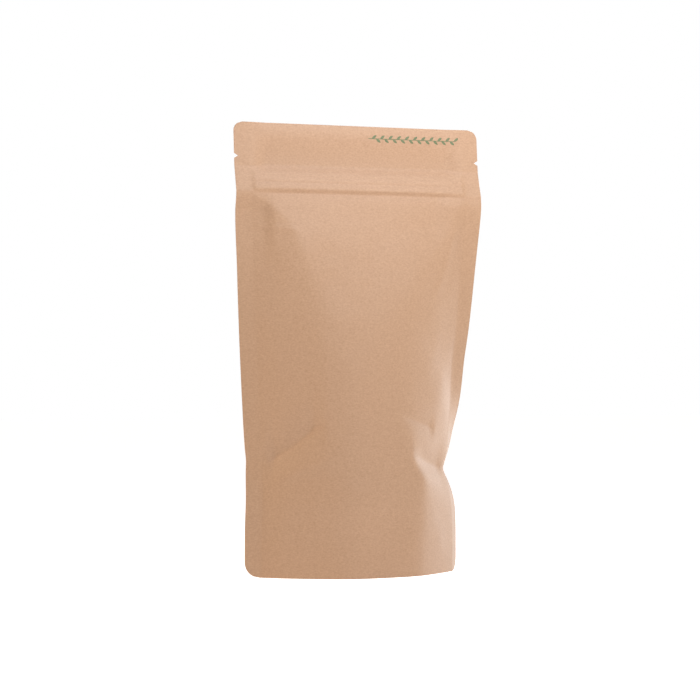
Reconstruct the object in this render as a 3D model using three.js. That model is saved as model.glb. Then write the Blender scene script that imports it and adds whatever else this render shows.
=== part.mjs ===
// Filled stand-up pouch of brown kraft paper, shut with a pressed zip band.
// Millimetres. X runs across the pouch, -Y is its front, Z is up, and the foot stands on Z = 0.
import * as THREE from 'three';

// Sheet as cut and sealed
const WIDTH = 130;
const HEIGHT = 226;
const SEAL = 8;
const SHEET = 0.6;
const HALF = WIDTH / 2 - SEAL;

// Corner rounding and tear notches
const CORNER_TOP_LEFT = 4.5;
const CORNER_TOP_RIGHT = 5;
const CORNER_FOOT = 7.6;
const NOTCH_HEIGHT = 209;
const NOTCH_DEPTH = 2;
const NOTCH_HALF_MOUTH = 1.2;

// Zip band and the header above it
const ZIP_LOW = 191.7;
const ZIP_SWELL = 1.2;
const HEADER_BACK = 0.27;
const HEADER_BACK_FOR = 12.5;
const SCOOP = 2.5;
const SCOOP_HEIGHT = 205.6;

// Swell of the filled body: half depth, and how far the zip leans out over the foot
const BELLY = 24.9;
const BELLY_HEIGHT = 58;
const FOOT = 23.4;
const TAPER = 1.5;
const LEAN = 11.6;
const LEAN_FROM = 72;
const LEAN_TO = 188;
const SAG = 1.2;
const SAG_HEIGHT = 122;
const FOOT_FORWARD = 2;
const FOOT_ASIDE = 0.85;

// The seams stand this far behind the middle of the pouch's depth, which is the origin
const SEAMS_BEHIND = 0.46;

// Upright folds: how far the fold beside the sloping front runs in from each end of the zip,
// and where the folds stand at the nip and at the foot
const SHIELD_RIGHT = 0.58;
const SHIELD_LEFT = 23;
const FOLD_NIP_FROM = 24.5;
const FOLD_NIP_RIGHT = 29.5;
const FOLD_FOOT_RIGHT = 26;
const FOLD_FOOT_LEFT = 47;
const FOLD_FOOT_MIDDLE = -11;

// Pinches in the side seams, and how far the flanks stand off below the ends of the zip
const PINCH_RIGHT_HEIGHT = 52.5;
const PINCH_RIGHT_DEPTH = 2.6;
const PINCH_LEFT_HEIGHT = 58.5;
const PINCH_LEFT_DEPTH = 0.9;
const RIDGE_HEIGHT = 186;
const RIDGE_RIGHT = 1.5;
const FLANK_LEFT_DEPTH = 1.8;
const FLANK_RIGHT_OUT = 2.1;

// Underside: skirt wall, the groove inside it and the gusset that rests on the table
const WALL = 0.9;
const GROOVE_MIDDLE = 3;
const GROOVE_END = 12;
const GUSSET_FLAT_TO = 36;

// Where the surface is sampled: across the sheet from edge to edge, and up the height
const ACROSS = [
  -65, -61, -57, -54.5, -51, -48, -44, -40, -35, -29, -23, -17, -9, -1, 7, 14, 20,
  24.5, 28.5, 32, 36, 40, 44, 48, 52, 55, 57, 61, 65,
];
const UP = [
  0, 0.9, 2.3, 4.4, 7.6, 15, 24, 33, 40, 45, 49, 52.5, 55.5, 58.5, 62, 66, 70, 75, 80, 85, 91, 99,
  108, 118, 128, 138, 148, 157, 165, 171, 176, 181, 186, 189, 190.5, 192, 193.5, 198, 201.2,
  204.6, 207.8, 209, 210.2, 213, 217, 221.5, 223.5, 225, 226,
];
const STEPS = 114;

// An even S-curve from 0 at a to 1 at b
function smooth(a, b, value) {
  const t = Math.min(Math.max((value - a) / (b - a), 0), 1);
  return t * t * (3 - 2 * t);
}

function clamp01(value) {
  return Math.min(Math.max(value, 0), 1);
}

// A rounded crease: 1 on the line, fading over `up` above it and `down` below it
function crease(offset, up, down, rounding) {
  const t = offset / (offset > 0 ? up : down);
  return Math.exp(rounding - Math.sqrt(t * t + rounding * rounding));
}

// Half depth of the filled body at height z
function depthAt(z) {
  const u = clamp01((z - BELLY_HEIGHT) / (ZIP_LOW - BELLY_HEIGHT));
  if (z >= BELLY_HEIGHT) return BELLY * (1 - u ** TAPER);
  return BELLY - (BELLY - FOOT) * smooth(BELLY_HEIGHT, 20, z);
}

// Y of the plane through both side seams: it leans forward to the zip and back above it
function seamPlane(z) {
  const r = clamp01((z - LEAN_FROM) / (LEAN_TO - LEAN_FROM));
  const lean = -LEAN * (0.6 * r + 0.4 * smooth(LEAN_FROM, LEAN_TO, z));
  const foot = -FOOT_FORWARD * smooth(60, 35, z);
  const sag = -SAG * Math.exp(-(((z - SAG_HEIGHT) / 28) ** 2));
  const above = Math.max(z - ZIP_LOW, 0);
  const upper = Math.max(above - HEADER_BACK_FOR, 0);
  const back = HEADER_BACK * Math.min(above, HEADER_BACK_FOR) + 0.09 * upper;
  return lean + sag + foot + back;
}

// How far the side seals are turned back, in radians
function sealTurn(z, side) {
  const turn = (side > 0 ? 0.44 : 0.454) * clamp01((ZIP_LOW - z) / 90);
  if (side < 0) return turn - 0.192 * smooth(60, 35, z);
  const low = 0.84 * smooth(106, 49, z) - 0.26 * smooth(56, 30, z);
  return turn + low - 0.08 * smooth(ZIP_LOW, 180, z);
}

// The fold beside the sloping front, h below the zip
function shieldFold(h, side) {
  const left = SHIELD_LEFT * Math.tanh((h / 15) ** 1.35) + 0.25 * Math.max(h - 22, 0);
  const inward = side > 0 ? Math.min(SHIELD_RIGHT * h, 40) : left;
  return { at: HALF - inward, soft: 1.5 + 8.5 * smooth(12, 100, h) };
}

function blend(a, b, k) {
  return a * (1 - k) + b * k;
}

// Where the crisp upright fold of the nip starts across the front at height z
function nipFold(z) {
  return FOLD_NIP_FROM + (FOLD_NIP_RIGHT - FOLD_NIP_FROM) * smooth(61, 47, z);
}

// The upright folds of the front at height z, each with its share of the whole bend
function frontFolds(z) {
  const h = Math.max(ZIP_LOW - z, 0);
  const right = shieldFold(h, 1);
  const left = shieldFold(h, -1);
  const toRight = smooth(100, 84, z);
  const toNip = 18 - FOLD_NIP_FROM + 6.5 * smooth(86, 65, z);
  const rightLow = nipFold(z) + toNip + (FOLD_FOOT_RIGHT - FOLD_NIP_RIGHT) * smooth(46, 12, z);
  const rightSoft = 7 - 4.5 * smooth(67, 56, z) + 3.8 * smooth(54, 36, z);
  const toLeft = smooth(66, 46, z);
  const toFoot = smooth(86, 50, z);
  const even = blend(0.1 + 0.82 * smooth(8, 100, h), 0.2, toFoot);
  return {
    even,
    folds: [
      {
        at: blend(right.at, rightLow, toRight),
        soft: blend(right.soft, rightSoft, toRight),
        share: (1 - even) * blend(0.5, 0.4, toFoot),
      },
      {
        at: -blend(Math.max(left.at, 14), FOLD_FOOT_LEFT, toLeft),
        soft: blend(left.soft, 2.5, toLeft),
        share: (1 - even) * blend(0.5, 0.14, toFoot),
      },
      { at: FOLD_FOOT_MIDDLE, soft: 9, share: (1 - even) * 0.46 * toFoot },
    ],
  };
}

// The upright folds of the rear at height z
function rearFolds(z) {
  const h = Math.max(ZIP_LOW - z, 0);
  const right = shieldFold(h, 1);
  const left = shieldFold(h, -1);
  const k = smooth(70, 46, z);
  const even = blend(0.1 + 0.85 * smooth(5, 85, h), 0.7, k);
  return {
    even,
    folds: [
      {
        at: blend(Math.max(right.at, 14), 36, k),
        soft: blend(right.soft, 5, k),
        share: (1 - even) * 0.5,
      },
      {
        at: -blend(Math.max(left.at, 14), 40, k),
        soft: blend(left.soft, 5, k),
        share: (1 - even) * 0.5,
      },
    ],
  };
}

// Share of the whole bend that the paper has made at each step from the left seam
function bendShares({ even, folds }) {
  const shares = [];
  for (let i = 0; i <= STEPS; i += 1) {
    const s = -HALF + (2 * HALF * i) / STEPS;
    let share = (even * (s + HALF)) / (2 * HALF);
    for (const fold of folds) {
      const low = Math.tanh((-HALF - fold.at) / fold.soft);
      const high = Math.tanh((HALF - fold.at) / fold.soft);
      share += (fold.share * (Math.tanh((s - fold.at) / fold.soft) - low)) / (high - low);
    }
    shares.push(share);
  }
  return shares;
}

// Walks the paper from the left seam with the given bend, level point and shares
function walk(bend, level, shares) {
  const step = (2 * HALF) / STEPS;
  const path = [{ x: 0, y: 0, angle: -bend * level }];
  let deepest = 0;
  for (let i = 1; i <= STEPS; i += 1) {
    const last = path[i - 1];
    const angle = bend * (shares[i] - level);
    const x = last.x + (step * (Math.cos(angle) + Math.cos(last.angle))) / 2;
    const y = last.y + (step * (Math.sin(angle) + Math.sin(last.angle))) / 2;
    deepest = Math.min(deepest, y);
    path.push({ x, y, angle });
  }
  return { path, deepest: -deepest };
}

// Smallest value in the range that makes the rising test true, by halving
function halve(low, high, test) {
  let a = low;
  let b = high;
  for (let i = 0; i < 24; i += 1) {
    const middle = (a + b) / 2;
    if (test(middle)) b = middle;
    else a = middle;
  }
  return (a + b) / 2;
}

// One panel's level line at height z: paper of fixed length, bent to the wanted depth
function section(z, front) {
  const shares = bendShares(front ? frontFolds(z) : rearFolds(z));
  const levelFor = (bend) => halve(0, 1, (level) => walk(bend, level, shares).path[STEPS].y < 0);
  const wanted = depthAt(z);
  const bend = halve(0, 3, (b) => walk(b, levelFor(b), shares).deepest > wanted);
  const { path } = walk(bend, levelFor(bend), shares);
  const middle = path[STEPS].x / 2;
  return path.map((p) => ({ x: p.x - middle, y: p.y, angle: p.angle }));
}

// The section's point at paper position s between the seams
function along(line, s) {
  const at = ((clampTo(s, HALF) + HALF) / (2 * HALF)) * STEPS;
  const i = Math.min(Math.floor(at), STEPS - 1);
  const k = at - i;
  const p = line[i];
  const q = line[i + 1];
  return { x: blend(p.x, q.x, k), y: blend(p.y, q.y, k), angle: blend(p.angle, q.angle, k) };
}

function clampTo(value, limit) {
  return Math.min(Math.max(value, -limit), limit);
}

// How far a rounded corner takes the edge in, t past the start of the rounding
function roundedBy(radius, t) {
  const inside = Math.min(Math.max(t, 0), radius);
  return radius - Math.sqrt(Math.max(radius * radius - inside * inside, 0));
}

// How far the outline is cut in from the full width at height z
function trimAt(z, side) {
  const top = side < 0 ? CORNER_TOP_LEFT : CORNER_TOP_RIGHT;
  const notch = NOTCH_DEPTH * Math.max(1 - Math.abs(z - NOTCH_HEIGHT) / NOTCH_HALF_MOUTH, 0);
  return roundedBy(top, z - (HEIGHT - top)) + roundedBy(CORNER_FOOT, CORNER_FOOT - z) + notch;
}

// Outward swell of the zip band, with the groove pressed in along its lower edge
function zipSwell(z, inward) {
  const band = smooth(204.6, 201.2, z) * smooth(190.6, 193.1, z);
  const swell = ZIP_SWELL * band * (0.26 + 0.74 * smooth(204, 193, z));
  const groove = 0.13 * Math.exp(-(((z - 191.3) / 1.5) ** 2)) * smooth(2, 14, inward);
  const ends = smooth(0, 2.2, inward) * blend(0.6, 1, smooth(2, 18, inward));
  return (swell - groove) * ends;
}

// Shallow scoop and backward curl of the header between the seals
function headerBack(z, inward) {
  const reach = z < SCOOP_HEIGHT ? 5 : 14;
  const scoop = SCOOP * Math.exp(-(((z - SCOOP_HEIGHT) / reach) ** 2));
  const curl = 1.1 * clamp01((z - 218) / 8) ** 2;
  return (scoop + curl - 0.25) * smooth(198, 205, z) * smooth(0, 10, inward);
}

// Inward move of the seam itself where the filled body nips it
function seamPinch(z, side) {
  if (side > 0) return PINCH_RIGHT_DEPTH * crease(z - PINCH_RIGHT_HEIGHT, 4.5, 6.5, 0.3);
  return PINCH_LEFT_DEPTH * crease(z - PINCH_LEFT_HEIGHT, 12, 7, 0.25);
}

// Inward push of the front on the right: the pinch, which begins at a crisp upright fold,
// and a smaller crease above it
function frontRightDent(s, z) {
  const t = clamp01((s - FOLD_NIP_FROM) / (HALF - FOLD_NIP_FROM));
  const line = PINCH_RIGHT_HEIGHT + 8 * (1 - t) ** 1.4;
  const r = clamp01((s - nipFold(z)) / (HALF - nipFold(z)));
  const hinge = 1 - (1 - clamp01(r / 0.75)) ** 2;
  const pinch = PINCH_RIGHT_DEPTH * hinge * crease(z - line, 6 - t, 5.5 + t, 0.22);
  const u = clamp01((s - 15) / 28);
  const fade = smooth(0, 0.4, u) * smooth(1, 0.82, u);
  return pinch + fade * crease(z - 81.5 + 8 * u, 3, 3.6, 0.2);
}

// Inward push of the front on the left: a slanting valley that starts at the seam's kink
function frontLeftDent(a, z) {
  const t = clamp01((54 - a) / 26);
  const line = PINCH_LEFT_HEIGHT + smooth(57, 54, a) + 15.5 * t ** 1.5;
  const ends = smooth(21, 31, a);
  const valley = PINCH_LEFT_DEPTH * smooth(45, 57, a) + 1.5 * smooth(57, 50, a) * ends;
  const lip = 1.7 * smooth(57, 53, a) * ends;
  return valley * crease(z - line, 24, 10, 0.08) + lip * crease(z - line, 8, 3.6, 0.12);
}

// Just below the zip's ends the right seam and flank stand forward, the left ones back
function flankRidge(s, z, front) {
  const a = Math.abs(s);
  if (s < 0) {
    const left = front ? smooth(45, 52, a) : smooth(48, HALF, a);
    return -FLANK_LEFT_DEPTH * left * smooth(191, 181, z) * smooth(150, 180, z);
  }
  const right = front ? smooth(40, 48, a) : smooth(48, HALF, a);
  return RIDGE_RIGHT * right * crease(z - RIDGE_HEIGHT, 7, 14, 0.25);
}

// Inward push of the rear, milder than the front's
function rearDent(a, z, side) {
  if (side > 0) {
    const t = clamp01((a - 33) / 24);
    const line = PINCH_RIGHT_HEIGHT + 8 * (1 - t) ** 1.5;
    return ((PINCH_RIGHT_DEPTH * t * t) / (t + 0.1)) * crease(z - line, 8 - 3 * t, 6, 0.25);
  }
  const t = clamp01((a - 30) / 27);
  const line = PINCH_LEFT_HEIGHT + 9 * (1 - t) ** 1.5;
  const inner = 1.6 * smooth(0, 0.5, t) * smooth(1, 0.6, t);
  return (PINCH_LEFT_DEPTH * t + inner) * crease(z - line, 8, 7, 0.2);
}

function dentAt(s, z, front) {
  const a = Math.abs(s);
  if (!front) return rearDent(a, z, Math.sign(s));
  return s > 0 ? frontRightDent(s, z) : frontLeftDent(a, z);
}

// A point of the front or rear face at paper position s and height z
function facePoint(line, s, z, front) {
  const face = front ? 1 : -1;
  const side = s < 0 ? -1 : 1;
  const inward = HALF - Math.abs(s);
  const p = along(line, s);
  const turn = sealTurn(z, side);
  const over = clamp01(-inward / SEAL) * (SEAL - trimAt(z, side));
  const onSeal = inward < 1e-9;
  let x = p.x + side * over * Math.cos(turn);
  let y = face * p.y + over * Math.sin(turn);
  x += onSeal ? (face * side * SHEET * Math.sin(turn)) / 2 : 0;
  y -= (face * SHEET * (onSeal ? Math.cos(turn) : 1)) / 2;
  y += headerBack(z, inward) - face * zipSwell(z, inward) - flankRidge(s, z, front);
  const push = onSeal ? seamPinch(z, side) : dentAt(s, z, front);
  const w = smooth(0, 9, inward);
  x -= push * ((1 - w) * side + w * Math.sin(p.angle));
  y += push * w * Math.cos(p.angle) * face + seamPlane(z) + SEAMS_BEHIND;
  x += FOOT_ASIDE * smooth(60, 35, z) + FLANK_RIGHT_OUT * smooth(112, 80, z) * smooth(10, HALF, s);
  return [x, y, z];
}

// The underside under one column, from the front's lowest point to the rear's
function underPath(front, rear, s) {
  const span = rear[1] - front[1];
  const a = Math.abs(s);
  const fit = Math.min(span / 24, 1);
  const groove = blend(GROOVE_MIDDLE, GROOVE_END, smooth(GUSSET_FLAT_TO, 54, a));
  const rise = groove * smooth(GUSSET_FLAT_TO, 50, a);
  const wall = Math.min(WALL, span / 4);
  const half = [
    [wall, 0],
    [wall + 0.8 * fit, groove],
    [wall + 4.5 * fit, blend(groove, rise, 0.3)],
    [wall + 8.5 * fit, rise],
  ];
  const place = ([d, z], fromRear) => {
    const k = (fromRear ? span - d : d) / span;
    return [blend(front[0], rear[0], k), blend(front[1], rear[1], k), z];
  };
  return [
    ...half.map((q) => place(q, false)),
    place([span / 2, rise], false),
    ...half.reverse().map((q) => place(q, true)),
  ];
}

// Collects points and triangles of one closed skin
class Skin {
  constructor() {
    this.points = [];
    this.triangles = [];
  }

  point(p) {
    this.points.push(...p);
    return this.points.length / 3 - 1;
  }

  quad(a, b, c, d) {
    this.triangles.push(a, b, c, a, c, d);
  }

  // Joins two neighbouring paths that share their ends' sides but not their counts
  band(a, b) {
    if (a.length === b.length) {
      for (let i = 0; i + 1 < a.length; i += 1) this.quad(a[i], a[i + 1], b[i + 1], b[i]);
      return;
    }
    const long = a.length > b.length ? a : b;
    const short = a.length > b.length ? b : a;
    const add = (p, q, r) => this.triangles.push(...(long === a ? [p, q, r] : [q, p, r]));
    const middle = Math.floor(long.length / 2);
    for (let i = 0; i + 1 < long.length; i += 1) {
      add(long[i], long[i + 1], i < middle ? short[0] : short[1]);
    }
    add(long[middle], short[1], short[0]);
  }

  geometry() {
    const shape = new THREE.BufferGeometry();
    shape.setAttribute('position', new THREE.Float32BufferAttribute(this.points, 3));
    shape.setIndex(this.triangles);
    shape.computeVertexNormals();
    return shape;
  }
}

// Points of one face, as rows up the height with columns across it
function faceGrid(skin, front) {
  return UP.map((z) => {
    const line = section(z, front);
    return ACROSS.map((s) => skin.point(facePoint(line, s, z, front)));
  });
}

function pointOf(skin, index) {
  return skin.points.slice(index * 3, index * 3 + 3);
}

// The whole pouch as one closed skin: front, rear, the edge between them and the underside
function pouchGeometry() {
  const skin = new Skin();
  const front = faceGrid(skin, true);
  const rear = faceGrid(skin, false);
  const columns = ACROSS.length - 1;
  const rows = UP.length - 1;
  for (let j = 0; j < rows; j += 1) {
    for (let i = 0; i < columns; i += 1) {
      skin.quad(front[j][i], front[j][i + 1], front[j + 1][i + 1], front[j + 1][i]);
      skin.quad(rear[j][i], rear[j + 1][i], rear[j + 1][i + 1], rear[j][i + 1]);
    }
    skin.quad(front[j][0], front[j + 1][0], rear[j + 1][0], rear[j][0]);
    skin.quad(front[j][columns], rear[j][columns], rear[j + 1][columns], front[j + 1][columns]);
  }
  for (let i = 0; i < columns; i += 1) {
    skin.quad(front[rows][i], front[rows][i + 1], rear[rows][i + 1], rear[rows][i]);
  }
  const paths = ACROSS.map((s, i) => {
    const a = pointOf(skin, front[0][i]);
    const b = pointOf(skin, rear[0][i]);
    const open = Math.abs(s) < HALF - 3;
    const middle = open ? underPath(a, b, s).map((p) => skin.point(p)) : [];
    return [front[0][i], ...middle, rear[0][i]];
  });
  for (let i = 0; i < columns; i += 1) skin.band(paths[i], paths[i + 1]);
  return skin.geometry();
}

const kraftPaper = new THREE.MeshStandardMaterial({
  color: '#cb9d79',
  roughness: 0.85,
  metalness: 0,
});

const pouch = new THREE.Mesh(pouchGeometry(), kraftPaper);
pouch.name = 'pouch';

const coffeeBag = new THREE.Group();
coffeeBag.add(pouch);

export default coffeeBag;
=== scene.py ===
import math

import bpy
import numpy as np
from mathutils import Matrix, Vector, noise


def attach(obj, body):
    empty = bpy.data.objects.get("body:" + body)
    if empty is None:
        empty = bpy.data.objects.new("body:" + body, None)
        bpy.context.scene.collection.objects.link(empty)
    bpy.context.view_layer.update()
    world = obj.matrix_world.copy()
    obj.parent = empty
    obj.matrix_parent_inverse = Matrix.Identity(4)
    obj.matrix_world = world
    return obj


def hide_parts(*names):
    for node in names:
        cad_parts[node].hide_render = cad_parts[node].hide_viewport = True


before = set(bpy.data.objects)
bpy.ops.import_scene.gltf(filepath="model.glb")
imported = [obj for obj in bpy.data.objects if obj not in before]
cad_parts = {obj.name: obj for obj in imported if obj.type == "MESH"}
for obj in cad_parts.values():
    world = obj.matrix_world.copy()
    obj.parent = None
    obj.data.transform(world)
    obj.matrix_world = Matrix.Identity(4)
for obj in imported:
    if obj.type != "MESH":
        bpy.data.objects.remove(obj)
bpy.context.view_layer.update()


# ---- The paper pouch -------------------------------------------------------------------
# A stand-up pouch of brown kraft paper: a front, a rear and a folded gusset sheet, welded
# along 8 mm side seals, filled, and shut with a zip band pressed in below the header.
# Each level line of a face is paper of fixed length, bent until it holds the filling.

# The sheets as cut, in millimetres: s runs across from edge to edge, z up from the floor
WIDTH = 130.0
HEIGHT = 226.0
SEAL = 8.0
PLIES = 0.6
HALF = WIDTH / 2 - SEAL
CORNER_TOP_LEFT = 4.5
CORNER_TOP_RIGHT = 5.0
CORNER_FOOT = 7.6
NOTCH_HEIGHT = 209.0
NOTCH_DEPTH = 2.0
NOTCH_HALF_MOUTH = 1.2

# The zip band's swell, the lines between its ribs, and the groove along its lower edge
ZIP_LOW = 191.7
BAND_FOOT = (190.6, 193.1)
BAND_TOP = (204.6, 201.2)
ZIP_SWELL = 1.2
ZIP_SHARE_TOP = 0.26
ZIP_SHARE_SEAM = 0.6
ZIP_LINES = (199.2, 196.2)
ZIP_LINE_SHARE = 0.2
ZIP_LINE_WIDTH = 0.55
GROOVE_DEPTH = 0.13
GROOVE_HEIGHT = 191.3
GROOVE_WIDTH = 1.5

# The header's slope back below and above its bend, its scoop between the seals, its curl
HEADER_BACK = 0.27
HEADER_BACK_HIGH = 0.09
HEADER_BEND = 12.5
HEADER_FORWARD = 0.25
SCOOP = 2.5
SCOOP_HEIGHT = 205.6
SCOOP_BELOW = 5.0
SCOOP_ABOVE = 14.0
CURL = 1.1
CURL_FROM = 218.0

# Half depths of the filled body, and how its seams lean forward, bow and shift at the foot
BELLY = 24.9
BELLY_HEIGHT = 58.0
BELLY_LOW = 20.0
FOOT = 23.4
TAPER = 1.50
LEAN = 11.6
LEAN_EVEN = 0.6
LEAN_FROM = 72.0
LEAN_TO = 188.0
BOW = 1.2
BOW_HEIGHT = 122.0
BOW_REACH = 28.0
SEAMS_BEHIND = 0.46
FOOT_FROM = 60.0
FOOT_TO = 35.0
FOOT_FORWARD = 2.0
FOOT_ASIDE = 0.85
FLANK_RIGHT_OUT = 2.1

# The side seals' turn back in radians: it grows down the body and is most at the pinch
TURN_RIGHT = 0.44
TURN_LEFT = 0.454
TURN_REACH = 90.0
TURN_PINCH = 0.84
TURN_LESS_FOOT_RIGHT = 0.26
TURN_LESS_FOOT_LEFT = 0.192
TURN_LESS_ZIP = 0.08

# The upright folds: the two beside the sloping front, which run inward below the zip, and
# the places of the lower ones out from the middle, with how soft each one is
SHIELD_RIGHT = 0.58
SHIELD_RIGHT_END = 40.0
SHIELD_LEFT = 23.0
SHIELD_LEFT_DROP = 15.0
SHIELD_LEFT_BEND = 1.35
SHIELD_LEFT_SLOPE = 0.25
SHIELD_LEFT_SLOPE_FROM = 22.0
SHIELD_INNER = 14.0
FOLD_BELLY_RIGHT = 18.0
FOLD_LOW_RIGHT = 24.5
FOLD_NIP_RIGHT = 29.5
FOLD_FOOT_RIGHT = 26.0
NIP_FROM = 61.0
NIP_TO = 47.0
FOLD_FOOT_LEFT = 47.0
FOLD_FOOT_MIDDLE = -11.0
FOLD_REAR_RIGHT = 36.0
FOLD_REAR_LEFT = 40.0
SOFT_ZIP = 1.5
SOFT_BODY = 10.0
SOFT_BELLY_RIGHT = 7.0
SOFT_NIP_RIGHT = 2.5
SOFT_FOOT_RIGHT = 6.3
SOFT_FOOT_LEFT = 2.5
SOFT_FOOT_MIDDLE = 9.0
SOFT_REAR = 5.0

# The share of the bend that no fold takes, just below the zip, further down and at the
# foot, and how the right, left and middle fold at the foot divide the rest
EVEN_ZIP = 0.1
EVEN_FRONT = 0.92
EVEN_REAR = 0.95
EVEN_FRONT_FOOT = 0.2
EVEN_REAR_FOOT = 0.7
FOOT_SHARES = (0.4, 0.14, 0.46)

# The creases: where the seams are nipped, how far the slanting lines rise from there, the
# small crease above the right one, and the rear's milder ones
PINCH_RIGHT_HEIGHT = 52.5
PINCH_RIGHT_DEPTH = 2.6
PINCH_RIGHT_RISE = 8.0
SMALL_CREASE_HEIGHT = 81.5
SMALL_CREASE_FALL = 8.0
SMALL_CREASE_FROM = 15.0
SMALL_CREASE_SPAN = 28.0
PINCH_LEFT_HEIGHT = 58.5
PINCH_LEFT_DEPTH = 0.9
VALLEY_LEFT_FROM = 54.0
VALLEY_LEFT_SPAN = 26.0
VALLEY_LEFT_RISE = 15.5
VALLEY_LEFT_DEPTH = 1.5
VALLEY_LEFT_LIP = 1.7
REAR_RIGHT_FROM = 33.0
REAR_LEFT_FROM = 30.0
REAR_LEFT_RISE = 9.0
REAR_LEFT_DEPTH = 1.6

# Below the zip's ends: the ridge and the hollow of the flanks, the left shoulder's wrinkle
# and the one down the right flank, and the paper's waves
RIDGE_HEIGHT = 186.0
RIDGE_RIGHT = 1.5
FLANK_LEFT_DEPTH = 1.8
SHOULDER_LIFT = 0.42
SHOULDER_HEIGHT = 172.5
SHOULDER_SLOPE = 0.12
SHOULDER_WIDTH = 1.7
FLANK_LIFT = 0.5
FLANK_OUT = 51.0
FLANK_SLOPE = 0.28
FLANK_WIDTH = 3.2
LONG_WAVE = 26.0
LONG_WAVE_LIFT = 0.9
SHORT_WAVE = 9.0
SHORT_WAVE_LIFT = 0.22
WAVES_FADE = 14.0
WAVES_FADE_ZIP = 25.0

# A level line's steps, and the search by halving for its bend, in radians
STEPS = 228
HALVINGS = 24
MOST_BEND = 3.0


def smooth(low, high, value):
    """An even S-curve from 0 at low to 1 at high."""
    t = np.clip((value - low) / (high - low), 0, 1)
    return t * t * (3 - 2 * t)


def blend(a, b, k):
    """A mix of a and b: all a where k is 0, all b where it is 1."""
    return a * (1 - k) + b * k


def crease(offset, up, down, rounding):
    """A rounded crease: 1 on its line, fading over `up` above it and `down` below it."""
    t = np.where(offset > 0, offset / up, offset / down)
    return np.exp(rounding - np.sqrt(t * t + rounding * rounding))


def bulge(offset, width):
    """A smooth bulge: 1 in its middle and all but gone two widths from it."""
    return np.exp(-((offset / width) ** 2))


def stages(z, start, *steps):
    """A value that is `start` high up and passes to the next one over each (from, to, next)."""
    value = start + 0 * z
    for high, low, goal in steps:
        value = value + (goal - start) * smooth(high, low, z)
        start = goal
    return value


def at_foot(z):
    """How far the body has turned into its foot, from 0 above to 1 below."""
    return smooth(FOOT_FROM, FOOT_TO, z)


def half_depth(z):
    """Half depth of the filled body at height z."""
    u = np.clip((z - BELLY_HEIGHT) / (ZIP_LOW - BELLY_HEIGHT), 0, 1)
    low = BELLY - (BELLY - FOOT) * smooth(BELLY_HEIGHT, BELLY_LOW, z)
    return np.where(z >= BELLY_HEIGHT, BELLY * (1 - u**TAPER), low)


def seam_plane(z):
    """Y of the plane through both side seams: it leans out to the zip and back above it."""
    r = np.clip((z - LEAN_FROM) / (LEAN_TO - LEAN_FROM), 0, 1)
    lean = -LEAN * (LEAN_EVEN * r + (1 - LEAN_EVEN) * smooth(LEAN_FROM, LEAN_TO, z))
    foot = -FOOT_FORWARD * at_foot(z)
    bow = -BOW * bulge(z - BOW_HEIGHT, BOW_REACH)
    above = np.maximum(z - ZIP_LOW, 0)
    back = HEADER_BACK * np.minimum(above, HEADER_BEND)
    back = back + HEADER_BACK_HIGH * np.maximum(above - HEADER_BEND, 0)
    return lean + bow + foot + back + SEAMS_BEHIND


def seal_turn(z, side):
    """How far the side seals are turned back, in radians."""
    turn = np.where(side > 0, TURN_RIGHT, TURN_LEFT) * np.clip((ZIP_LOW - z) / TURN_REACH, 0, 1)
    right = TURN_PINCH * smooth(106, 49, z) - TURN_LESS_FOOT_RIGHT * smooth(56, 30, z)
    right = right - TURN_LESS_ZIP * smooth(ZIP_LOW, 180, z)
    return turn + np.where(side > 0, right, -TURN_LESS_FOOT_LEFT * at_foot(z))


def shield_fold(h, side):
    """The fold beside the sloping front, h below the zip: its distance out and softness."""
    left = SHIELD_LEFT * np.tanh((h / SHIELD_LEFT_DROP) ** SHIELD_LEFT_BEND)
    left = left + SHIELD_LEFT_SLOPE * np.maximum(h - SHIELD_LEFT_SLOPE_FROM, 0)
    inward = np.where(side > 0, np.minimum(SHIELD_RIGHT * h, SHIELD_RIGHT_END), left)
    return HALF - inward, SOFT_ZIP + (SOFT_BODY - SOFT_ZIP) * smooth(12, 100, h)


def front_folds(z):
    """The front's upright folds (place, softness, share of the bend) and its even share."""
    h = np.maximum(ZIP_LOW - z, 0)
    right, right_soft = shield_fold(h, 1)
    left, left_soft = shield_fold(h, -1)
    to_right = smooth(100, 84, z)
    right_low = stages(
        z,
        FOLD_BELLY_RIGHT,
        (86, 65, FOLD_LOW_RIGHT),
        (NIP_FROM, NIP_TO, FOLD_NIP_RIGHT),
        (46, 12, FOLD_FOOT_RIGHT),
    )
    right_low_soft = stages(
        z,
        SOFT_BELLY_RIGHT,
        (67, 56, SOFT_NIP_RIGHT),
        (54, 36, SOFT_FOOT_RIGHT),
    )
    to_left = smooth(66, 46, z)
    to_foot = smooth(86, 50, z)
    even = blend(blend(EVEN_ZIP, EVEN_FRONT, smooth(8, 100, h)), EVEN_FRONT_FOOT, to_foot)
    folds = [
        (
            blend(right, right_low, to_right),
            blend(right_soft, right_low_soft, to_right),
            (1 - even) * blend(0.5, FOOT_SHARES[0], to_foot),
        ),
        (
            -blend(np.maximum(left, SHIELD_INNER), FOLD_FOOT_LEFT, to_left),
            blend(left_soft, SOFT_FOOT_LEFT, to_left),
            (1 - even) * blend(0.5, FOOT_SHARES[1], to_foot),
        ),
        (
            FOLD_FOOT_MIDDLE + 0 * z,
            SOFT_FOOT_MIDDLE + 0 * z,
            (1 - even) * FOOT_SHARES[2] * to_foot,
        ),
    ]
    return folds, even


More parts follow.
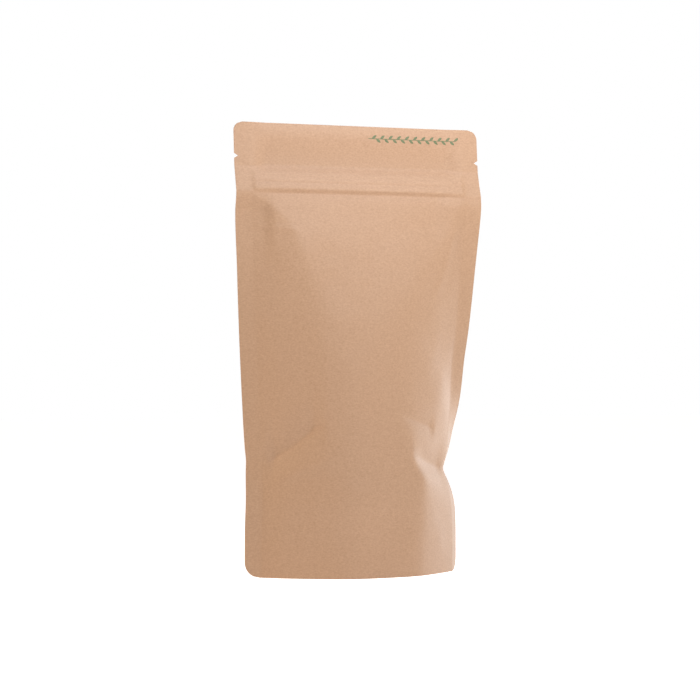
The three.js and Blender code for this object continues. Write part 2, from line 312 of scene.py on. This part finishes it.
def rear_folds(z):
    """The rear's two upright folds and its even share."""
    h = np.maximum(ZIP_LOW - z, 0)
    right, right_soft = shield_fold(h, 1)
    left, left_soft = shield_fold(h, -1)
    to_foot = smooth(70, 46, z)
    right = blend(np.maximum(right, SHIELD_INNER), FOLD_REAR_RIGHT, to_foot)
    left = blend(np.maximum(left, SHIELD_INNER), FOLD_REAR_LEFT, to_foot)
    even = blend(blend(EVEN_ZIP, EVEN_REAR, smooth(5, 85, h)), EVEN_REAR_FOOT, to_foot)
    folds = [
        (right, blend(right_soft, SOFT_REAR, to_foot), (1 - even) / 2),
        (-left, blend(left_soft, SOFT_REAR, to_foot), (1 - even) / 2),
    ]
    return folds, even


def sections(z, folds, even):
    """Level lines at heights z: x, y and slope of paper that is bent to the wanted depth."""
    s = np.linspace(-HALF, HALF, STEPS + 1)
    step = s[1] - s[0]
    share = even[:, None] * (s[None] + HALF) / (2 * HALF)
    for place, soft, part in folds:
        wave = np.tanh((s[None] - place[:, None]) / soft[:, None])
        share = share + part[:, None] * (wave - wave[:, :1]) / (wave[:, -1:] - wave[:, :1])

    def run(values):
        middle = (values[:, 1:] + values[:, :-1]) / 2 * step
        return np.concatenate([np.zeros((len(z), 1)), np.cumsum(middle, axis=1)], axis=1)

    def level_for(bend):
        low, high = np.zeros(len(z)), np.ones(len(z))
        for _ in range(HALVINGS):
            level = (low + high) / 2
            end = run(np.sin(bend[:, None] * (share - level[:, None])))[:, -1]
            low, high = np.where(end > 0, level, low), np.where(end > 0, high, level)
        return (low + high) / 2

    low, high = np.zeros(len(z)), np.full(len(z), MOST_BEND)
    for _ in range(HALVINGS):
        bend = (low + high) / 2
        angle = bend[:, None] * (share - level_for(bend)[:, None])
        deep = -run(np.sin(angle)).min(axis=1) > half_depth(z)
        low, high = np.where(deep, low, bend), np.where(deep, bend, high)
    angle = high[:, None] * (share - level_for(high)[:, None])
    x = run(np.cos(angle))
    return s, x - x[:, -1:] / 2, run(np.sin(angle)), angle


def rounded_by(radius, t):
    """How far a rounded corner takes the edge in, t past the start of its rounding."""
    inside = np.clip(t, 0, radius)
    return radius - np.sqrt(np.maximum(radius * radius - inside * inside, 0))


def trim(z, side):
    """How far the outline is cut in from the full width: corners and tear notches."""
    top = np.where(side < 0, CORNER_TOP_LEFT, CORNER_TOP_RIGHT)
    notch = NOTCH_DEPTH * np.maximum(1 - np.abs(z - NOTCH_HEIGHT) / NOTCH_HALF_MOUTH, 0)
    return rounded_by(top, z - (HEIGHT - top)) + rounded_by(CORNER_FOOT, CORNER_FOOT - z) + notch


def zip_swell(z, inward):
    """Outward swell of the zip band, less the lines in it and the groove below it."""
    band = smooth(*BAND_TOP, z) * smooth(*BAND_FOOT, z)
    full = blend(ZIP_SHARE_TOP, 1, smooth(204, 193, z))
    lines = sum(bulge(z - line, ZIP_LINE_WIDTH) for line in ZIP_LINES)
    swell = ZIP_SWELL * band * (full - ZIP_LINE_SHARE * lines)
    groove = GROOVE_DEPTH * bulge(z - GROOVE_HEIGHT, GROOVE_WIDTH) * smooth(2, 14, inward)
    at_seam = smooth(0, 2.2, inward) * blend(ZIP_SHARE_SEAM, 1, smooth(2, 18, inward))
    return (swell - groove) * at_seam


def header_back(z, inward):
    """Shallow scoop and backward curl of the header between the seals."""
    reach = np.where(z < SCOOP_HEIGHT, SCOOP_BELOW, SCOOP_ABOVE)
    scoop = SCOOP * bulge(z - SCOOP_HEIGHT, reach)
    curl = CURL * np.clip((z - CURL_FROM) / (HEIGHT - CURL_FROM), 0, 1) ** 2
    return (scoop + curl - HEADER_FORWARD) * smooth(198, 205, z) * smooth(0, 10, inward)


def seam_pinch(z, side):
    """Inward move of the seam itself, where the filled body nips it."""
    right = PINCH_RIGHT_DEPTH * crease(z - PINCH_RIGHT_HEIGHT, 4.5, 6.5, 0.3)
    left = PINCH_LEFT_DEPTH * crease(z - PINCH_LEFT_HEIGHT, 12, 7, 0.25)
    return np.where(side > 0, right, left)


def front_right_dent(s, z):
    """Inward push of the front on the right: the pinch and a smaller crease above it."""
    t = np.clip((s - FOLD_LOW_RIGHT) / (HALF - FOLD_LOW_RIGHT), 0, 1)
    line = PINCH_RIGHT_HEIGHT + PINCH_RIGHT_RISE * (1 - t) ** 1.4
    begin = stages(z, FOLD_LOW_RIGHT, (NIP_FROM, NIP_TO, FOLD_NIP_RIGHT))
    r = np.clip((s - begin) / (HALF - begin), 0, 1)
    hinge = 1 - (1 - np.clip(r / 0.75, 0, 1)) ** 2
    pinch = PINCH_RIGHT_DEPTH * hinge * crease(z - line, 6 - t, 5.5 + t, 0.22)
    u = np.clip((s - SMALL_CREASE_FROM) / SMALL_CREASE_SPAN, 0, 1)
    line = SMALL_CREASE_HEIGHT - SMALL_CREASE_FALL * u
    return pinch + smooth(0, 0.4, u) * smooth(1, 0.82, u) * crease(z - line, 3.0, 3.6, 0.2)


def front_left_dent(a, z):
    """Inward push of the front on the left: a slanting valley from the seam's kink."""
    t = np.clip((VALLEY_LEFT_FROM - a) / VALLEY_LEFT_SPAN, 0, 1)
    line = PINCH_LEFT_HEIGHT + smooth(HALF, 54, a) + VALLEY_LEFT_RISE * t**1.5
    inner = smooth(21, 31, a)
    valley = VALLEY_LEFT_DEPTH * smooth(HALF, 50, a) * inner
    valley = valley + PINCH_LEFT_DEPTH * smooth(45, HALF, a)
    lip = VALLEY_LEFT_LIP * smooth(HALF, 53, a) * inner
    return valley * crease(z - line, 24, 10, 0.08) + lip * crease(z - line, 8, 3.6, 0.12)


def flank_ridge(s, z, front):
    """Just below the zip's ends the right seam and flank stand forward, the left ones back."""
    a = np.abs(s)
    if front:
        across = smooth(np.where(s < 0, 45, 40), np.where(s < 0, 52, 48), a)
    else:
        across = smooth(48, HALF, a)
    left = -FLANK_LEFT_DEPTH * smooth(191, 181, z) * smooth(150, 180, z)
    right = RIDGE_RIGHT * crease(z - RIDGE_HEIGHT, 7, 14, 0.25)
    return across * np.where(s < 0, left, right)


def wrinkles(s, z):
    """Small outward crumples of the front: one at the left shoulder, one down the right."""
    a = np.abs(s)
    line = SHOULDER_HEIGHT + SHOULDER_SLOPE * (a - 36)
    shoulder = SHOULDER_LIFT * smooth(HALF, 52, a) * smooth(30, 38, a)
    shoulder = shoulder * bulge(z - line, SHOULDER_WIDTH)
    line = FLANK_OUT - FLANK_SLOPE * np.maximum(176 - z, 0)
    flank = FLANK_LIFT * smooth(182, 170, z) * smooth(138, 146, z) * bulge(s - line, FLANK_WIDTH)
    return np.where(s < 0, shoulder, flank)


def rear_dent(a, z, side):
    """Inward push of the rear, milder than the front's."""
    t = np.clip((a - REAR_RIGHT_FROM) / (HALF - REAR_RIGHT_FROM), 0, 1)
    line = PINCH_RIGHT_HEIGHT + PINCH_RIGHT_RISE * (1 - t) ** 1.5
    right = PINCH_RIGHT_DEPTH * t * t / (t + 0.1) * crease(z - line, 8 - 3 * t, 6, 0.25)
    t = np.clip((a - REAR_LEFT_FROM) / (HALF - REAR_LEFT_FROM), 0, 1)
    line = PINCH_LEFT_HEIGHT + REAR_LEFT_RISE * (1 - t) ** 1.5
    left = PINCH_LEFT_DEPTH * t + REAR_LEFT_DEPTH * smooth(0, 0.5, t) * smooth(1, 0.6, t)
    return np.where(side > 0, right, left * crease(z - line, 8, 7, 0.2))


def paper_waves(s, z, seed):
    """Slow waves and soft crumples of the filled paper, none at the seams, zip and foot."""
    free = smooth(0, WAVES_FADE, HALF - np.abs(s)) * smooth(0, WAVES_FADE, z)
    free = free * smooth(ZIP_LOW, ZIP_LOW - WAVES_FADE_ZIP, z)
    lift = np.zeros(free.shape)
    for j, i in np.argwhere(free > 0.001):
        place = Vector((s[0, i], z[j, 0], seed * 50.0))
        slow = noise.noise(place / LONG_WAVE)
        small = noise.noise(place / SHORT_WAVE + Vector((7, 3, 0)))
        lift[j, i] = LONG_WAVE_LIFT * slow + SHORT_WAVE_LIFT * small
    return lift * free


def face_points(s, z, front):
    """Points of the front or rear face, as rows up the height and columns across."""
    s, z = s[None], z[:, None]
    face = 1 if front else -1
    side = np.where(s < 0, -1.0, 1.0)
    inward = HALF - np.abs(s)
    folds, even = front_folds(z[:, 0]) if front else rear_folds(z[:, 0])
    steps, xs, ys, angles = sections(z[:, 0], folds, even)
    inner = np.clip(s[0], -HALF, HALF)
    x, y, angle = (
        np.array([np.interp(inner, steps, line) for line in lines]) for lines in (xs, ys, angles)
    )
    turn = seal_turn(z, side)
    over = np.clip(-inward / SEAL, 0, 1) * (SEAL - trim(z, side))
    on_seal = inward < 1e-9
    thick_x = face * side * np.where(on_seal, np.sin(turn), 0) * PLIES / 2
    thick_y = face * np.where(on_seal, np.cos(turn), 1) * PLIES / 2
    x = x + side * over * np.cos(turn) + thick_x
    y = face * y + over * np.sin(turn) - thick_y
    y = y + header_back(z, inward) - face * zip_swell(z, inward)
    y = y - face * paper_waves(s, z, face) - flank_ridge(s, z, front)
    if front:
        y = y - wrinkles(s, z)
        dent = np.where(side > 0, front_right_dent(s, z), front_left_dent(np.abs(s), z))
    else:
        dent = rear_dent(np.abs(s), z, side)
    push = np.where(on_seal, seam_pinch(z, side), dent)
    w = smooth(0, 9, inward)
    x = x - push * ((1 - w) * side + w * np.sin(angle)) + FOOT_ASIDE * at_foot(z)
    x = x + FLANK_RIGHT_OUT * smooth(112, 80, z) * smooth(10, HALF, s)
    y = y + push * w * np.cos(angle) * face + seam_plane(z)
    return np.stack([x, y, z + 0 * x], axis=-1)


def spread(*spans):
    """Sample places from (from, to, pitch) spans, without doubles."""
    places = [np.linspace(a, b, max(round(abs(b - a) / pitch), 1) + 1) for a, b, pitch in spans]
    return np.unique(np.round(np.concatenate(places), 4))


# Sampled most closely beside the seams, at the zip and round the notches and the pinch
ACROSS = spread((-65, -57, 2.0), (-57, -54, 0.75), (-54, 54, 0.92), (54, 57, 0.75), (57, 65, 2.0))
UP = spread(
    (0, 8, 0.8),
    (8, 40, 1.2),
    (40, 90, 0.8),
    (90, 186, 1.25),
    (186, 207.8, 0.4),
    (207.8, 210.2, 0.6),
    (210.2, 216, 1.1),
    (216, 226, 0.8),
)

# Underside: the skirt's wall, the groove inside it, and the gusset's belly on the table,
# with the crease that its fold left along the middle
WALL = 0.9
WALL_LEAN = 0.8
FULL_SPAN = 24.0
GROOVE_MIDDLE = 3.0
GROOVE_END = 12.0
GROOVE_SLOPE = 7.7
GUSSET_FLAT_TO = 36.0
GUSSET_POINTS = 14
FOLD_CREASE = 0.5
FOLD_CREASE_WIDTH = 0.8


def under_path(front, rear, s):
    """Points of the underside below one column, from the front's edge to the rear's."""
    span = rear[1] - front[1]
    fit = min(span / FULL_SPAN, 1)
    groove = blend(GROOVE_MIDDLE, GROOVE_END, smooth(GUSSET_FLAT_TO, 54, abs(s)))
    rise = groove * smooth(GUSSET_FLAT_TO, 50, abs(s))
    wall = min(WALL, span / 4)
    lean = WALL_LEAN * fit
    drop = [(wall, 0.0), (wall + lean / 2, groove * 0.55), (wall + lean, groove)]
    slope = [
        (wall + lean + GROOVE_SLOPE * fit * k, blend(groove, rise, smooth(0, 1, np.float64(k))))
        for k in (0.15, 0.3, 0.45, 0.6, 0.8, 1.0)
    ]
    half = drop + slope
    last = half[-1][0]
    for k in range(1, GUSSET_POINTS + 1):
        d = last + (span / 2 - last) * k / GUSSET_POINTS
        half.append((d, rise + FOLD_CREASE * bulge(span / 2 - d, FOLD_CREASE_WIDTH)))
    both = half + [(span - d, height) for d, height in half[-2::-1]]
    return [tuple(blend(front[:2], rear[:2], d / span)) + (float(height),) for d, height in both]


def join_paths(a, b):
    """Faces between two neighbouring underside paths, also where one has no middle."""
    if len(a) == len(b):
        return [(a[i], a[i + 1], b[i + 1], b[i]) for i in range(len(a) - 1)]
    long, short = (a, b) if len(a) > len(b) else (b, a)
    middle = len(long) // 2
    fan = [
        (long[i], long[i + 1], short[0] if i < middle else short[1]) for i in range(len(long) - 1)
    ]
    fan.append((long[middle], short[1], short[0]))
    return fan if long is a else [face[::-1] for face in fan]


def pouch_skin(front, rear):
    """One closed skin: both faces, the cut edges between them, and the underside."""
    rows, columns = front.shape[:2]
    points = list(map(tuple, np.concatenate([front.reshape(-1, 3), rear.reshape(-1, 3)])))
    f = np.arange(rows * columns).reshape(rows, columns)
    r = f + rows * columns
    faces = []
    for j in range(rows - 1):
        for i in range(columns - 1):
            faces.append((f[j, i], f[j, i + 1], f[j + 1, i + 1], f[j + 1, i]))
            faces.append((r[j, i], r[j + 1, i], r[j + 1, i + 1], r[j, i + 1]))
        faces.append((f[j, 0], f[j + 1, 0], r[j + 1, 0], r[j, 0]))
        faces.append((f[j, -1], r[j, -1], r[j + 1, -1], f[j + 1, -1]))
    for i in range(columns - 1):
        faces.append((f[-1, i], f[-1, i + 1], r[-1, i + 1], r[-1, i]))
    paths = []
    for i, s in enumerate(ACROSS):
        middle = under_path(front[0, i], rear[0, i], s) if abs(s) < HALF - 1.6 else []
        first = len(points)
        points.extend(middle)
        paths.append([f[0, i], *range(first, len(points)), r[0, i]])
    for a, b in zip(paths, paths[1:]):
        faces.extend(join_paths(a, b))
    return points, [tuple(int(v) for v in face) for face in faces]


SHARP_EDGE = math.radians(50)


def solid_mesh(name, points, faces):
    """A mesh object from millimetre points, smooth but for its true edges."""
    mesh = bpy.data.meshes.new(name)
    mesh.from_pydata([tuple(c / 1000 for c in p) for p in points], [], faces)
    mesh.validate()
    mesh.polygons.foreach_set("use_smooth", [True] * len(mesh.polygons))
    mesh.set_sharp_from_angle(angle=SHARP_EDGE)
    piece = bpy.data.objects.new(name, mesh)
    bpy.context.scene.collection.objects.link(piece)
    return piece


front_face = face_points(ACROSS, UP, front=True)
rear_face = face_points(ACROSS, UP, front=False)
pouch = solid_mesh("pouch_paper", *pouch_skin(front_face, rear_face))


def linear(hex_colour):
    """An sRGB hex colour as linear RGBA."""
    parts = [int(hex_colour[i : i + 2], 16) / 255 for i in (1, 3, 5)]
    return (*(c / 12.92 if c <= 0.04045 else ((c + 0.055) / 1.055) ** 2.4 for c in parts), 1.0)


def new_material(name):
    """An empty node material with its output and its shader."""
    material = bpy.data.materials.new(name)
    material.use_nodes = True
    tree = material.node_tree
    return material, tree, tree.nodes["Principled BSDF"]


def add(tree, kind, settings=None, **links):
    """Adds a node; settings are its properties, links its inputs by name or number."""
    node = tree.nodes.new(kind)
    for key, value in (settings or {}).items():
        setattr(node, key, value)
    for key, value in links.items():
        which = int(key[1:]) if key[1:].isdigit() else key.replace("_", " ")
        if isinstance(value, bpy.types.NodeSocket):
            tree.links.new(value, node.inputs[which])
        else:
            node.inputs[which].default_value = value
    return node


def two_tones(tree, share, low, high):
    """A colour that passes from low to high as share goes from 0 to 1."""
    return add(tree, "ShaderNodeMix", {"data_type": "RGBA"}, _0=share, _6=low, _7=high).outputs[2]


def scale_of(size):
    """The scale of a pattern whose cells are this many millimetres."""
    return 1000 / size


# Unbleached kraft paper, machine-made: long fibres lie mostly across the web, so the colour
# is finely streaked, a little clouded, with few dark flecks; the surface is dull and dry.
# Its fibres are some 0.03 mm wide, too fine to show, so the streaks are drawn 0.4 mm wide
# and 1.4 mm long, the clouds 0.9 mm, and the flecks up to 1 mm long and 0.5 mm high.
KRAFT_PALE = "#B08C6D"
KRAFT_DEEP = "#A07C5D"
KRAFT_FLECK = "#7A5638"
STREAK_LENGTH = 1.4286
STREAK_WIDTH = 0.41667
CLOUD_SIZE = 0.90909
FLECKS_APART = 8.3333
FLECKS_APART_UP = 3.8462
FLECK_CORE = 0.03
FLECK_RIM = 0.06
FLECK_SHARE = 0.14
DEEP_BELOW = 0.7
PALE_ABOVE = 1.3
GRAIN_HEIGHT = 0.1
GRAIN_STRENGTH = 0.25

paper, tree, shader = new_material("kraft_paper_uncoated")
place = add(tree, "ShaderNodeTexCoord").outputs["Object"]
streak_place = add(
    tree,
    "ShaderNodeMapping",
    Vector=place,
    Scale=(scale_of(STREAK_LENGTH), scale_of(STREAK_LENGTH), scale_of(STREAK_WIDTH)),
)
streaks = add(tree, "ShaderNodeTexNoise", Vector=streak_place.outputs[0], Scale=1.0, Detail=3.0)
clouds = add(
    tree,
    "ShaderNodeTexNoise",
    Vector=place,
    Scale=scale_of(CLOUD_SIZE),
    Detail=2.0,
    Roughness=0.6,
)
both = add(
    tree,
    "ShaderNodeMath",
    {"operation": "ADD"},
    _0=streaks.outputs[0],
    _1=clouds.outputs[0],
)
tone_share = add(
    tree,
    "ShaderNodeMapRange",
    _0=both.outputs[0],
    _1=DEEP_BELOW,
    _2=PALE_ABOVE,
)
tones = two_tones(tree, tone_share.outputs[0], linear(KRAFT_DEEP), linear(KRAFT_PALE))
fleck_place = add(
    tree,
    "ShaderNodeMapping",
    Vector=place,
    Scale=(scale_of(FLECKS_APART), scale_of(FLECKS_APART), scale_of(FLECKS_APART_UP)),
)
flecks = add(tree, "ShaderNodeTexVoronoi", Vector=fleck_place.outputs[0], Scale=1.0)
fleck_mask = add(
    tree,
    "ShaderNodeMapRange",
    _0=flecks.outputs["Distance"],
    _1=FLECK_CORE,
    _2=FLECK_RIM,
    _3=1.0,
    _4=0.0,
)
few = add(
    tree,
    "ShaderNodeMath",
    {"operation": "GREATER_THAN"},
    _0=flecks.outputs["Color"],
    _1=1 - FLECK_SHARE,
)
fleck_share = add(
    tree,
    "ShaderNodeMath",
    {"operation": "MULTIPLY"},
    _0=fleck_mask.outputs[0],
    _1=few.outputs[0],
)
coloured = two_tones(tree, fleck_share.outputs[0], tones, linear(KRAFT_FLECK))
tree.links.new(coloured, shader.inputs["Base Color"])
grain = add(
    tree,
    "ShaderNodeBump",
    Strength=GRAIN_STRENGTH,
    Distance=GRAIN_HEIGHT / 1000,
    Height=both.outputs[0],
)
tree.links.new(grain.outputs[0], shader.inputs["Normal"])
shader.inputs["Roughness"].default_value = 0.62
shader.inputs["IOR"].default_value = 1.5
shader.inputs["Sheen Weight"].default_value = 0.18
shader.inputs["Sheen Roughness"].default_value = 0.5

pouch.data.materials.append(paper)
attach(pouch, "root")
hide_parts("pouch")


# ---- The printed sprig -----------------------------------------------------------------
# A small line of plain green leaves, printed in one ink on the header at the upper right.
# The ink has no body of its own, so it is a film five hundredths of a millimetre proud.

SPRIG_FROM = 8.0
SPRIG_TO = 55.5
SPRIG_HEIGHT = 219.9
SPRIG_LEAVES = 21
LEAF_LENGTH = 3.0
LEAF_WIDTH = 1.25
LEAF_TILT = 38.0
LEAF_STEPS = 9
STEM_WIDTH = 0.35
STEM_AHEAD = 2.0
STEM_PAST = 0.2
STEM_STEPS = 64
INK = 0.05
INK_STEM = 0.04


def leaf_blank():
    """A pointed oval leaf of ink, root at the origin, tip along +X, as a closed film."""
    t = np.linspace(0, 1, LEAF_STEPS)
    half = LEAF_WIDTH / 2 * np.sin(np.pi * t) ** 0.75
    outline = [(LEAF_LENGTH * a, -w) for a, w in zip(t, half)]
    outline += [(LEAF_LENGTH * a, w) for a, w in list(zip(t, half))[-2:0:-1]]
    n = len(outline)
    points = [(x, y, INK) for x, y in outline] + [(x, y, -INK) for x, y in outline]
    faces = [(i, (i + 1) % n, (i + 1) % n + n, i + n)[::-1] for i in range(n)]
    for base, turned in ((0, False), (n, True)):
        for k in range(LEAF_STEPS - 1):
            a, b = base + k, base + k + 1
            c = base + (n - k - 1) % n if k + 1 < LEAF_STEPS - 1 else b
            d = base + (n - k) % n
            quad = tuple(dict.fromkeys((a, b, c, d)))
            if len(quad) > 2:
                faces.append(quad[::-1] if turned else quad)
    return solid_mesh("leaf_blank", points, faces)


def sprig_tree():
    """Geometry Nodes: a leaf on each side of the stem by turns, realised, with its ink."""
    group = bpy.data.node_groups.new("sprig", "GeometryNodeTree")
    for name, kind in (
        ("Leaf", "NodeSocketObject"),
        ("Ink", "NodeSocketMaterial"),
        ("Start", "NodeSocketVector"),
        ("End", "NodeSocketVector"),
        ("Leaves", "NodeSocketInt"),
        ("Tilt", "NodeSocketFloat"),
    ):
        group.interface.new_socket(name, in_out="INPUT", socket_type=kind)
    group.interface.new_socket("Geometry", in_out="OUTPUT", socket_type="NodeSocketGeometry")
    given = add(group, "NodeGroupInput").outputs
    line = add(
        group,
        "GeometryNodeMeshLine",
        {"mode": "END_POINTS"},
        Count=given["Leaves"],
        Start_Location=given["Start"],
        _3=given["End"],
    )
    leaf = add(group, "GeometryNodeObjectInfo", Object=given["Leaf"]).outputs["Geometry"]
    index = add(group, "GeometryNodeInputIndex").outputs[0]
    odd = add(group, "ShaderNodeMath", {"operation": "MODULO"}, _0=index, _1=2.0).outputs[0]
    sign = add(group, "ShaderNodeMath", {"operation": "MULTIPLY_ADD"}, _0=odd, _1=-2.0, _2=1.0)
    tilt = add(
        group,
        "ShaderNodeMath",
        {"operation": "MULTIPLY"},
        _0=sign.outputs[0],
        _1=given["Tilt"],
    )
    turn = add(group, "ShaderNodeCombineXYZ", Z=tilt.outputs[0])
    leaves = add(
        group,
        "GeometryNodeInstanceOnPoints",
        Points=line.outputs[0],
        Instance=leaf,
        Rotation=turn.outputs[0],
    )
    real = add(group, "GeometryNodeRealizeInstances", Geometry=leaves.outputs[0])
    inked = add(group, "GeometryNodeSetMaterial", Geometry=real.outputs[0], Material=given["Ink"])
    out = add(group, "NodeGroupOutput")
    group.links.new(inked.outputs[0], out.inputs[0])
    return group


# Flexographic ink on bare kraft: thin and dull green. It is uneven where fibres show through,
# which is drawn as patches of 0.6 mm, coarser than the fibres, to be seen at all.
INK_GREEN = "#5A6442"
INK_THIN = "#6E7350"
PATCH_SIZE = 0.625
FULL_BELOW = 0.4
THIN_ABOVE = 0.75

ink, tree, shader = new_material("green_ink_flexo")
place = add(tree, "ShaderNodeTexCoord").outputs["Object"]
patches = add(tree, "ShaderNodeTexNoise", Vector=place, Scale=scale_of(PATCH_SIZE), Detail=3.0)
thinness = add(
    tree,
    "ShaderNodeMapRange",
    _0=patches.outputs[0],
    _1=FULL_BELOW,
    _2=THIN_ABOVE,
)
shades = two_tones(tree, thinness.outputs[0], linear(INK_GREEN), linear(INK_THIN))
tree.links.new(shades, shader.inputs["Base Color"])
shader.inputs["Roughness"].default_value = 0.6


def on_front(s, z, proud):
    """A point of the front face at sheet position s and height z, raised by `proud`."""
    i = int(np.clip(np.searchsorted(ACROSS, s) - 1, 0, len(ACROSS) - 2))
    j = int(np.clip(np.searchsorted(UP, z) - 1, 0, len(UP) - 2))
    a = (s - ACROSS[i]) / (ACROSS[i + 1] - ACROSS[i])
    b = (z - UP[j]) / (UP[j + 1] - UP[j])
    low = blend(front_face[j, i], front_face[j, i + 1], a)
    high = blend(front_face[j + 1, i], front_face[j + 1, i + 1], a)
    outward = np.cross(front_face[j, i + 1] - front_face[j, i], high - low)
    return blend(low, high, b) + proud * outward / np.linalg.norm(outward)


leaf = leaf_blank()
carrier = bpy.data.objects.new("sprig_carrier", bpy.data.meshes.new("sprig_carrier"))
bpy.context.scene.collection.objects.link(carrier)
maker = carrier.modifiers.new("sprig", "NODES")
maker.node_group = sprig_tree()
inputs = {
    "Leaf": leaf,
    "Ink": ink,
    "Start": (SPRIG_FROM / 1000, 0, 0),
    "End": ((SPRIG_TO - LEAF_LENGTH) / 1000, 0, 0),
    "Leaves": SPRIG_LEAVES,
    "Tilt": math.radians(LEAF_TILT),
}
for item in maker.node_group.interface.items_tree:
    if item.name in inputs:
        maker[item.identifier] = inputs[item.name]
seen = carrier.evaluated_get(bpy.context.evaluated_depsgraph_get())
leaves = bpy.data.meshes.new_from_object(seen)
flat = [tuple(c * 1000 for c in v.co) for v in leaves.vertices]
faces = [tuple(face.vertices) for face in leaves.polygons]
stem_s = np.linspace(SPRIG_FROM - STEM_AHEAD, SPRIG_TO - LEAF_LENGTH + STEM_PAST, STEM_STEPS)
first = len(flat)
for s in stem_s:
    for across, proud in ((-0.5, -INK), (-0.5, INK_STEM), (0.5, INK_STEM), (0.5, -INK)):
        flat.append((s, across * STEM_WIDTH, proud))
for k in range(len(stem_s) - 1):
    for m in range(4):
        a, b = first + 4 * k + m, first + 4 * k + (m + 1) % 4
        faces.append((a, b, b + 4, a + 4)[::-1])
faces.append((first, first + 1, first + 2, first + 3)[::-1])
end = first + 4 * (len(stem_s) - 1)
faces.append((end, end + 1, end + 2, end + 3))
sprig_points = [tuple(on_front(x, SPRIG_HEIGHT + y, up)) for x, y, up in flat]
sprig = solid_mesh("printed_sprig", sprig_points, faces)
sprig.data.materials.append(ink)
for spare in (carrier, leaf):
    bpy.data.objects.remove(spare)
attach(sprig, "root")


# ---- Floor, light and camera -----------------------------------------------------------
# A white table under four soft lamps, at the right, the left, in front and above, before a
# white background; the camera is level with the pouch's middle, 1.1 m off, turned 20 degrees.

# Matt white card, lit through so brightly that no shadow is left on it. Its real tooth is
# some 0.2 mm, too fine to show, so it is drawn 2.5 mm.
CARD_DEEP = "#CFCFCF"
CARD_PALE = "#D6D6D6"
CARD_GLOW = "#FFF9F6"
CARD_STRENGTH = 1.08
TOOTH_SIZE = 2.5
FLOOR_REACH = 3000.0

corners = ((-1, -1), (1, -1), (1, 1), (-1, 1))
floor = solid_mesh(
    "studio_floor",
    [(x * FLOOR_REACH, y * FLOOR_REACH, 0) for x, y in corners],
    [(0, 1, 2, 3)],
)
card, tree, shader = new_material("white_background_card")
place = add(tree, "ShaderNodeTexCoord").outputs["Object"]
tooth = add(tree, "ShaderNodeTexNoise", Vector=place, Scale=scale_of(TOOTH_SIZE), Detail=2.0)
tone = two_tones(tree, tooth.outputs[0], linear(CARD_DEEP), linear(CARD_PALE))
tree.links.new(tone, shader.inputs["Base Color"])
shader.inputs["Roughness"].default_value = 0.9
shader.inputs["Emission Color"].default_value = linear(CARD_GLOW)
shader.inputs["Emission Strength"].default_value = CARD_STRENGTH
floor.data.materials.append(card)

# The background is plain white to the camera and lights nothing
world = bpy.data.worlds.new("white_room")
bpy.context.scene.world = world
world.use_nodes = True
room = world.node_tree.nodes["Background"]
room.inputs["Color"].default_value = linear("#FFFFFF")
seen_from = add(world.node_tree, "ShaderNodeLightPath")
glow = add(world.node_tree, "ShaderNodeMapRange", _0=seen_from.outputs[0], _3=0.0, _4=1.0)
world.node_tree.links.new(glow.outputs[0], room.inputs["Strength"])


# The lamps' and the camera's places are in metres
AIM_HEIGHT = 0.12


def softbox(name, place, width, height, watts, tint):
    """A soft rectangular lamp, turned to the pouch's middle."""
    lamp = bpy.data.lights.new(name, "AREA")
    lamp.shape = "RECTANGLE"
    lamp.size = width
    lamp.size_y = height
    lamp.energy = watts
    lamp.color = linear(tint)[:3]
    holder = bpy.data.objects.new(name, lamp)
    holder.location = place
    holder.visible_camera = False
    aim = Vector((0, 0, AIM_HEIGHT)) - Vector(place)
    holder.rotation_euler = aim.to_track_quat("-Z", "Y").to_euler()
    bpy.context.scene.collection.objects.link(holder)


softbox("softbox_right", (0.5, 0.15, 0.15), 0.25, 0.3, 1.75, "#F4FAFF")
softbox("softbox_left", (-0.45, 0.1, 0.28), 0.2, 0.2, 1.22, "#FFE8C6")
softbox("softbox_front", (0.08, -0.27, 0.37), 0.25, 0.25, 1.39, "#FAFBFF")
softbox("softbox_above", (-0.03, -0.1, 0.46), 0.3, 0.25, 0.7, "#E2ECFF")

CAMERA_DISTANCE = 1.1
CAMERA_HEIGHT = 0.1055
CAMERA_TURN = math.radians(20)
CAMERA_AIM_ASIDE = math.radians(0.082)
CAMERA_AIM_UP = math.radians(0.406)
LENS = 111.9

lens = bpy.data.cameras.new("camera")
lens.lens = LENS
lens.sensor_width = 36
camera = bpy.data.objects.new("camera", lens)
camera.location = (
    -CAMERA_DISTANCE * math.sin(CAMERA_TURN),
    -CAMERA_DISTANCE * math.cos(CAMERA_TURN),
    CAMERA_HEIGHT,
)
camera.rotation_euler = (math.pi / 2 + CAMERA_AIM_UP, 0, CAMERA_AIM_ASIDE - CAMERA_TURN)
bpy.context.scene.collection.objects.link(camera)
bpy.context.scene.camera = camera
bpy.context.scene.view_settings.view_transform = "Standard"
